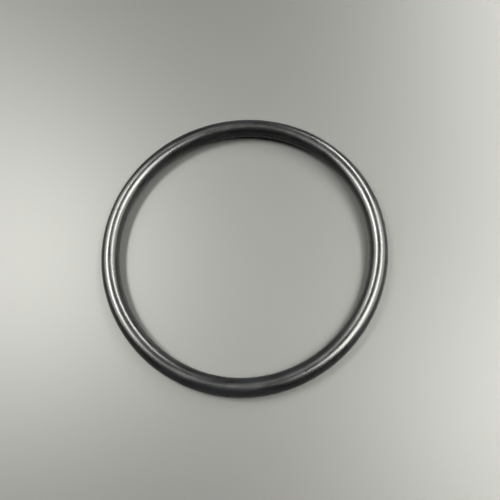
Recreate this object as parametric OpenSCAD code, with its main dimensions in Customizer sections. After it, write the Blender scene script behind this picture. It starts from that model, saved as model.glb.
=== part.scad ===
// Round-section rubber sealing ring (o-ring), moulded in one piece.
// Origin: the ring's centre, on the mid-plane where the two mould halves met.
// Z is the ring's axis of symmetry; lying flat, the ring touches at z = -section_d / 2.

/* [Ring] */
// Inside diameter of the relaxed ring, between the bare inner walls
inner_d = 70; // [40:0.5:150]
// Diameter of the round cross-section
section_d = 5; // [3:0.1:8]

/* [Mould line] */
// How far the witness ridge of the mould's parting line stands out of the section
ridge_h = 0.06; // [0.02:0.01:0.08]
// Thickness of the witness ridge, measured along the ring's axis
ridge_w = 0.24; // [0.2:0.02:0.4]

/* [Hidden] */
// Facets of the preview, round the ring and round the section
RING_FN = 256;
SECTION_FN = 64;
// Radius of the circle that the section's centre runs along
pitch_r = (inner_d + section_d) / 2;
// The ridge's crest is a half round, so the centre of that round is half a thickness below the crest
ridge_offset = section_d / 2 + ridge_h - ridge_w / 2;

// The round section, with a ridge at the inside diameter and one at the outside diameter,
// both on the mid-plane
module section() {
    circle(d = section_d, $fn = SECTION_FN);
    for (side = [-1, 1])
        translate([side * ridge_offset, 0])
            circle(d = ridge_w, $fn = SECTION_FN);
}

module o_ring() {
    color([0.07, 0.07, 0.075])
        rotate_extrude($fn = RING_FN)
            translate([pitch_r, 0])
                section();
}

o_ring();
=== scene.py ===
"""Looks of a rubber o-ring that lies flat on a pale studio floor.

Every length is in metres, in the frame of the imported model: the ring's axis is Z, its centre is
the origin, and it rests on the floor at its lowest point.
"""

import math
import random

import bpy
from mathutils import Matrix, Vector, noise


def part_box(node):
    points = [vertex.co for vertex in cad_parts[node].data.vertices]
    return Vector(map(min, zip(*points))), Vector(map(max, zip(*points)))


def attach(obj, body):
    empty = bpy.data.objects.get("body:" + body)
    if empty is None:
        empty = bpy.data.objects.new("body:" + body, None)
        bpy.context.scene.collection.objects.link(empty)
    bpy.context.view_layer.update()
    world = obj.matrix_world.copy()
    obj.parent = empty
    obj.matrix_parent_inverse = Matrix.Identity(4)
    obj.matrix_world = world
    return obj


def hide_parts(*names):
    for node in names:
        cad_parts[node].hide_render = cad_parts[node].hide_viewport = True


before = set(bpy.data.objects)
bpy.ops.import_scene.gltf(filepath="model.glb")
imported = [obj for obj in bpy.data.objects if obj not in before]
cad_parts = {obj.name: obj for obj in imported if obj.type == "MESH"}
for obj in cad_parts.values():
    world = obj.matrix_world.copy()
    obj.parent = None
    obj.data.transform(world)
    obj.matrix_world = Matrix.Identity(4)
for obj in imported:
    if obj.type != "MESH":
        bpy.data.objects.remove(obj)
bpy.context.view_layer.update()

MM = 0.001
DEG = math.pi / 180

# ---- The ring's sizes, worked out from its CAD node -------------------------------------------
RING_LOW, RING_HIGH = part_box("o_ring")
SECTION_R = (RING_HIGH.z - RING_LOW.z) / 2
OUTER_R = min(RING_HIGH.x - RING_LOW.x, RING_HIGH.y - RING_LOW.y) / 2
MID_Z = (RING_HIGH.z + RING_LOW.z) / 2
FLOOR_Z = RING_LOW.z
RIDGE_H = 0.06 * MM
RIDGE_W = 0.24 * MM
PITCH_R = OUTER_R - RIDGE_H - SECTION_R

# ---- The ring's mesh --------------------------------------------------------------------------
STEPS_ROUND = 720
PLAIN_STEPS = 50
RIDGE_STEPS = 18
RIDGE_ZONE = 6.0 * DEG
RIDGE_LEAST = 0.3
RIDGE_USUAL = 0.68
# How the trimmed ridge's height wanders: waves round the ring, offset between its sides, strength.
RIDGE_WANDER = ((3.2, 7.0, 0.5), (40, 3.0, 0.25))

# The ring lies slightly out of round.
LOBES = 3
LOBE_DEPTH = 0.135 * MM
LOBE_ANGLE = 36.1 * DEG

# Shallow unevenness of the skin: its depth, and its length round the ring and round the section.
RIPPLE_DEPTH = 0.004 * MM
RIPPLE_ROUND = 5.5 * MM
RIPPLE_ACROSS = 2.6 * MM
RIPPLE_SLANT = 0.7
FINE_RIPPLE_SCALE = 3.1
FINE_RIPPLE_SHARE = 0.12

DENT_COUNT = 9
DENT_SEED = 11
DENT_TURN = (20 * DEG, 160 * DEG)
DENT_RADIUS_MM = (0.18, 0.42)
DENT_DEPTH_MM = (0.005, 0.014)
DENT_REACH = 3
DENT_STRETCH = 1.8

# ---- Rubber -----------------------------------------------------------------------------------
# Pattern scales are in repeats for each metre.
STREAK_ALONG = 90.0
STREAK_ACROSS = 2600.0
PATCH_ALONG = 120.0
PATCH_ACROSS = 420.0
SPECKLE_SCALE = 5200.0
BLACK = (0.0012, 0.0012, 0.0013)
BLOOM = (0.0030, 0.0033, 0.0040)
STREAK_ROUGHNESS = (0.25, 0.28)
PATCH_ROUGHNESS = (-0.01, 0.05)
RUBBER_IOR = 1.5
BUMP_HEIGHT = 0.001 * MM

# ---- Studio -----------------------------------------------------------------------------------
FLOOR_RADIUS = 1.1
FLOOR_SIDES = 128
FLOOR_GREY = 0.05
FLOOR_WARMTH = 0.985
FLOOR_SATIN = 0.4
FLOOR_ROUGHNESS = 0.46

LIGHT_DISTANCE = 1.2
WARM = (1.0, 1.0, 0.94)

# Grey levels round the studio, and the heights between which the pale horizon fades, as sines.
HORIZON = 0.35
CEILING = 0.02
BACKDROP = 0.36
GLOW_FOOT = 0.02
GLOW_TOP = 0.35

# ---- The camera -------------------------------------------------------------------------------
LENS_MM = 39.6
SENSOR_MM = 36.0
CAMERA_AZIMUTH = 18.12 * DEG
CAMERA_ELEVATION = 72.66 * DEG
CAMERA_ROLL = -17.35 * DEG
CAMERA_DISTANCE = 152.9 * MM
CAMERA_TARGET = Vector((2.32 * MM, -0.27 * MM, MID_Z))


# ---- Ring geometry ----------------------------------------------------------------------------
def section_angles():
    """Angles round the section, from 0 at the outer wall, closer together over the two mould ridges."""
    half_plain = math.pi - 2 * RIDGE_ZONE
    angles = []
    for side in (0, 1):
        start = side * math.pi
        for k in range(RIDGE_STEPS):
            angles.append(start - RIDGE_ZONE + 2 * RIDGE_ZONE * k / RIDGE_STEPS)
        for k in range(PLAIN_STEPS):
            angles.append(start + RIDGE_ZONE + half_plain * k / PLAIN_STEPS)
    return angles


def ridge_height(angle, share):
    """How far the mould ridge stands out of the section at this angle, at this share of its height."""
    along = abs(SECTION_R * math.sin(angle))
    crest_r = RIDGE_W / 2
    if along >= crest_r:
        return 0.0
    crest_centre = SECTION_R + RIDGE_H - crest_r
    rise = crest_centre + math.sqrt(crest_r ** 2 - along ** 2) - SECTION_R * abs(math.cos(angle))
    return share * max(0.0, rise)


def ridge_share(round_angle, side):
    """Share of the ridge's full height at this angle. The ridge was trimmed by hand, so it wanders."""
    share = RIDGE_USUAL
    for waves, apart, strength in RIDGE_WANDER:
        at = Vector((waves * math.cos(round_angle), waves * math.sin(round_angle), apart * side))
        share += strength * noise.noise(at)
    return min(1.0, max(RIDGE_LEAST, share))


def ripple(round_angle, section_angle):
    """Depth of the shallow unevenness of a moulded rubber skin. It only ever goes inwards."""
    along = PITCH_R / RIPPLE_ROUND
    across = SECTION_R / RIPPLE_ACROSS
    at = Vector((
        along * math.cos(round_angle),
        along * math.sin(round_angle),
        across * math.cos(section_angle)))
    at.x += RIPPLE_SLANT * across * math.sin(section_angle)
    at.y += RIPPLE_SLANT * across * math.sin(section_angle)
    fine = FINE_RIPPLE_SHARE * noise.noise(FINE_RIPPLE_SCALE * at)
    return RIPPLE_DEPTH * (0.5 + 0.5 * noise.noise(at) + fine)


def make_dents():
    """Small shallow nicks in the skin: place round the ring, place round the section, radius, depth."""
    draw = random.Random(DENT_SEED)
    dents = []
    for _ in range(DENT_COUNT):
        place = draw.uniform(0, 2 * math.pi)
        turn = draw.uniform(*DENT_TURN)
        radius = draw.uniform(*DENT_RADIUS_MM) * MM
        depth = draw.uniform(*DENT_DEPTH_MM) * MM
        dents.append((place, turn, radius, depth))
    return dents


def dent_depth(dents, round_angle, section_angle):
    """How deep the dents are at this place of the skin."""
    depth = 0.0
    for place, turn, radius, deepest in dents:
        away_round = math.remainder(round_angle - place, 2 * math.pi) * PITCH_R
        if abs(away_round) > DENT_REACH * radius:
            continue
        away_across = math.remainder(section_angle - turn, 2 * math.pi) * SECTION_R
        away = (away_round / DENT_STRETCH) ** 2 + away_across ** 2
        depth += deepest * math.exp(-away / (0.5 * radius ** 2))
    return depth


def ring_points():
    """All the ring's points, one closed section after another."""
    angles = section_angles()
    dents = make_dents()
    points = []
    for step in range(STEPS_ROUND):
        a = 2 * math.pi * step / STEPS_ROUND
        pitch = PITCH_R + LOBE_DEPTH * math.cos(LOBES * (a - LOBE_ANGLE))
        shares = (ridge_share(a, 0), ridge_share(a, 1))
        for b in angles:
            share = shares[0] if math.cos(b) > 0 else shares[1]
            section = SECTION_R + ridge_height(b, share) - ripple(a, b) - dent_depth(dents, a, b)
            rho = pitch + section * math.cos(b)
            points.append(Vector((rho * math.cos(a), rho * math.sin(a), section * math.sin(b))))
    return points, len(angles)


def fit_to_box(points, low, high):
    """Centres the points in the box and shrinks them by the little that they reach past it."""
    least = Vector([min(p[k] for p in points) for k in range(3)])
    most = Vector([max(p[k] for p in points) for k in range(3)])
    middle = (least + most) / 2
    size = most - least
    shrink = min(1.0, (high.x - low.x) / size.x, (high.y - low.y) / size.y)
    lift = low.z - least.z
    for p in points:
        p.x = (p.x - middle.x) * shrink + (low.x + high.x) / 2
        p.y = (p.y - middle.y) * shrink + (low.y + high.y) / 2
        p.z += lift
    return points


def ring_mesh():
    """The ring's skin as one closed mesh of smooth quads."""
    points, around = ring_points()
    points = fit_to_box(points, RING_LOW, RING_HIGH)
    faces = []
    for i in range(STEPS_ROUND):
        j = (i + 1) % STEPS_ROUND
        for k in range(around):
            m = (k + 1) % around
            faces.append((i * around + k, j * around + k, j * around + m, i * around + m))
    mesh = bpy.data.meshes.new("o_ring_rubber")
    mesh.from_pydata([tuple(p) for p in points], [], faces)
    mesh.polygons.foreach_set("use_smooth", [True] * len(faces))
    mesh.validate()
    mesh.update()
    return mesh


# ---- Materials --------------------------------------------------------------------------------
class Nodes:
    """Short forms for building a material's node tree."""

    def __init__(self, material):
        self.tree = material.node_tree

    def add(self, kind, **settings):
        node = self.tree.nodes.new(kind)
        for name, value in settings.items():
            setattr(node, name, value)
        return node

    def link(self, source, target):
        self.tree.links.new(source, target)

    def maths(self, operation, first, second):
        node = self.add("ShaderNodeMath", operation=operation)
        for socket, value in zip(node.inputs, (first, second)):
            if isinstance(value, (int, float)):
                socket.default_value = value
            else:
                self.link(value, socket)
        return node.outputs[0]

    def ramp(self, value, low, high, to_low, to_high):
        node = self.add("ShaderNodeMapRange", interpolation_type="SMOOTHSTEP")
        for name, number in zip(("From Min", "From Max", "To Min", "To Max"), (low, high, to_low, to_high)):
            node.inputs[name].default_value = number
        self.link(value, node.inputs["Value"])
        return node.outputs["Result"]

    def mix(self, share, first, second):
        node = self.add("ShaderNodeMix", data_type="RGBA")
        self.link(share, node.inputs[0])
        for socket, value in ((node.inputs[6], first), (node.inputs[7], second)):
            if isinstance(value, tuple):
                socket.default_value = (*value, 1)
            else:
                self.link(value, socket)
        return node.outputs[2]

    def grain(self, place, w, scale, detail, rough):
        node = self.add("ShaderNodeTexNoise", noise_dimensions="4D" if w is not None else "3D")
        node.inputs["Scale"].default_value = scale
        node.inputs["Detail"].default_value = detail
        node.inputs["Roughness"].default_value = rough
        self.link(place, node.inputs["Vector"])
        if w is not None:
            self.link(w, node.inputs["W"])
        return node.outputs["Fac"]


def streak_place(n, along, across):
    """Coordinates that run slowly round the ring and fast across its section: a vector and a W."""
    spot = n.add("ShaderNodeTexCoord").outputs["Object"]
    xyz = n.add("ShaderNodeSeparateXYZ")
    n.link(spot, xyz.inputs[0])
    flat = n.maths("SQRT", n.maths("ADD", n.maths("MULTIPLY", xyz.outputs[0], xyz.outputs[0]),
                                   n.maths("MULTIPLY", xyz.outputs[1], xyz.outputs[1])), 0)
    outward = n.maths("MULTIPLY", n.maths("SUBTRACT", flat, PITCH_R), across)
    joined = n.add("ShaderNodeCombineXYZ")
    n.link(n.maths("MULTIPLY", xyz.outputs[0], along), joined.inputs[0])
    n.link(n.maths("MULTIPLY", xyz.outputs[1], along), joined.inputs[1])
    n.link(outward, joined.inputs[2])
    return joined.outputs[0], n.maths("MULTIPLY", xyz.outputs[2], across)


def rubber():
    """Black moulded rubber: a satin skin with a thin bluish bloom, streaks round the ring and fine grain."""
    material = bpy.data.materials.new("black_rubber")
    material.use_nodes = True
    n = Nodes(material)
    shader = material.node_tree.nodes["Principled BSDF"]
    spot = n.add("ShaderNodeTexCoord").outputs["Object"]
    streak_at, streak_w = streak_place(n, STREAK_ALONG, STREAK_ACROSS)
    patch_at, patch_w = streak_place(n, PATCH_ALONG, PATCH_ACROSS)
    streaks = n.grain(streak_at, streak_w, scale=1.0, detail=4.0, rough=0.6)
    patches = n.grain(patch_at, patch_w, scale=1.0, detail=4.0, rough=0.55)
    speckle = n.grain(spot, None, scale=SPECKLE_SCALE, detail=2.0, rough=0.5)
    bloom = n.ramp(patches, 0.42, 0.66, 0.0, 1.0)
    n.link(n.mix(bloom, BLACK, BLOOM), shader.inputs["Base Color"])
    streak_rough = n.ramp(streaks, 0.3, 0.7, *STREAK_ROUGHNESS)
    patch_rough = n.ramp(patches, 0.35, 0.7, *PATCH_ROUGHNESS)
    n.link(n.maths("ADD", streak_rough, patch_rough), shader.inputs["Roughness"])
    shader.inputs["IOR"].default_value = RUBBER_IOR
    height = n.maths("ADD", n.maths("MULTIPLY", streaks, 0.6), n.maths("MULTIPLY", speckle, 0.4))
    bump = n.add("ShaderNodeBump")
    bump.inputs["Strength"].default_value = 1.0
    bump.inputs["Distance"].default_value = BUMP_HEIGHT
    n.link(height, bump.inputs["Height"])
    n.link(bump.outputs["Normal"], shader.inputs["Normal"])
    return material


def make_ring():
    """The rubber ring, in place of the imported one."""
    ring = bpy.data.objects.new("o_ring_rubber", ring_mesh())
    bpy.context.scene.collection.objects.link(ring)
    ring.data.materials.append(rubber())
    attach(ring, "root")
    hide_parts("o_ring")


# ---- Studio -----------------------------------------------------------------------------------
def pale_floor():
    """A plain satin surface. It is dark in itself, and the bright panels make it pale."""
    material = bpy.data.materials.new("pale_floor")
    material.use_nodes = True
    shader = material.node_tree.nodes["Principled BSDF"]
    shader.inputs["Base Color"].default_value = (FLOOR_GREY, FLOOR_GREY, FLOOR_GREY * FLOOR_WARMTH, 1)
    shader.inputs["Metallic"].default_value = FLOOR_SATIN
    shader.inputs["Roughness"].default_value = FLOOR_ROUGHNESS
    return material


def make_floor():
    """A wide round floor, so that its far edge is a level line from every side."""
    rim = []
    for step in range(FLOOR_SIDES):
        turn = 2 * math.pi * step / FLOOR_SIDES
        rim.append((FLOOR_RADIUS * math.cos(turn), FLOOR_RADIUS * math.sin(turn), FLOOR_Z))
    mesh = bpy.data.meshes.new("floor")
    mesh.from_pydata(rim, [], [tuple(range(FLOOR_SIDES))])
    floor = bpy.data.objects.new("floor", mesh)
    bpy.context.scene.collection.objects.link(floor)
    floor.data.materials.append(pale_floor())


def toward(across, up):
    """The direction that lies this many degrees from overhead, across to +X and up to +Y."""
    tilt = math.hypot(across, up) * DEG
    turn = math.atan2(up, across)
    return Vector((math.sin(tilt) * math.cos(turn), math.sin(tilt) * math.sin(turn), math.cos(tilt)))


def make_panel(name, across, up, wide, long, radiance, lean=0.0):
    """A soft light panel that faces the ring. Its place, width, length and lean are in degrees."""
    away = toward(across, up)
    long_axis = (Vector((0, 1, 0)) - away * away.y).normalized()
    long_axis.rotate(Matrix.Rotation(lean * DEG, 3, away))
    wide_axis = long_axis.cross(away)
    data = bpy.data.lights.new(name, "AREA")
    data.shape = "RECTANGLE"
    data.size = 2 * LIGHT_DISTANCE * math.tan(wide * DEG / 2)
    data.size_y = 2 * LIGHT_DISTANCE * math.tan(long * DEG / 2)
    data.energy = radiance * math.pi * data.size * data.size_y
    data.color = WARM
    panel = bpy.data.objects.new(name, data)
    bpy.context.scene.collection.objects.link(panel)
    panel.matrix_world = Matrix((
        (wide_axis.x, long_axis.x, away.x, away.x * LIGHT_DISTANCE),
        (wide_axis.y, long_axis.y, away.y, away.y * LIGHT_DISTANCE),
        (wide_axis.z, long_axis.z, away.z, away.z * LIGHT_DISTANCE),
        (0, 0, 0, 1)))
    panel.visible_camera = False


def make_lights():
    """Two bright soft strips, each with a dim surround, and a short one near the right strip's foot."""
    make_panel("right_core", 32, 18, 10, 74, 46, lean=2)
    make_panel("right_near", 20, -4, 14, 20, 36)
    make_panel("right_glow", 56, 9, 34, 50, 6.5)
    make_panel("left_core", -28, 13, 10, 23, 74, lean=-10)
    make_panel("left_glow", -47, 14, 32, 50, 6)


def make_world():
    """A pale backdrop in plain view. The ring and the floor mirror a dark ceiling with a pale horizon."""
    world = bpy.data.worlds.new("studio")
    bpy.context.scene.world = world
    world.use_nodes = True
    n = Nodes(world)
    height = n.add("ShaderNodeSeparateXYZ")
    n.link(n.add("ShaderNodeTexCoord").outputs["Generated"], height.inputs[0])
    ceiling = n.ramp(height.outputs[2], GLOW_FOOT, GLOW_TOP, 0.0, 1.0)
    mirrored = n.mix(ceiling, (HORIZON, HORIZON, HORIZON), (CEILING, CEILING, CEILING))
    in_view = n.add("ShaderNodeLightPath").outputs["Is Camera Ray"]
    colour = n.mix(in_view, mirrored, (BACKDROP, BACKDROP, BACKDROP))
    n.link(colour, world.node_tree.nodes["Background"].inputs["Color"])


def make_camera():
    """A camera nearly overhead, with its azimuth counted from -Y and its roll about its own axis."""
    azimuth, elevation, roll = CAMERA_AZIMUTH, CAMERA_ELEVATION, CAMERA_ROLL
    ahead = Vector((-math.sin(azimuth) * math.cos(elevation),
                    math.cos(azimuth) * math.cos(elevation), -math.sin(elevation)))
    level = Vector((math.cos(azimuth), math.sin(azimuth), 0))
    above = level.cross(ahead)
    right = math.cos(roll) * level + math.sin(roll) * above
    up = math.cos(roll) * above - math.sin(roll) * level
    place = CAMERA_TARGET - ahead * CAMERA_DISTANCE
    data = bpy.data.cameras.new("camera")
    data.lens = LENS_MM
    data.sensor_width = SENSOR_MM
    data.clip_start = 0.01
    camera = bpy.data.objects.new("camera", data)
    bpy.context.scene.collection.objects.link(camera)
    camera.matrix_world = Matrix((
        (right.x, up.x, -ahead.x, place.x),
        (right.y, up.y, -ahead.y, place.y),
        (right.z, up.z, -ahead.z, place.z),
        (0, 0, 0, 1)))
    bpy.context.scene.camera = camera


make_ring()
make_floor()
make_lights()
make_world()
make_camera()
bpy.context.scene.view_settings.view_transform = "Standard"
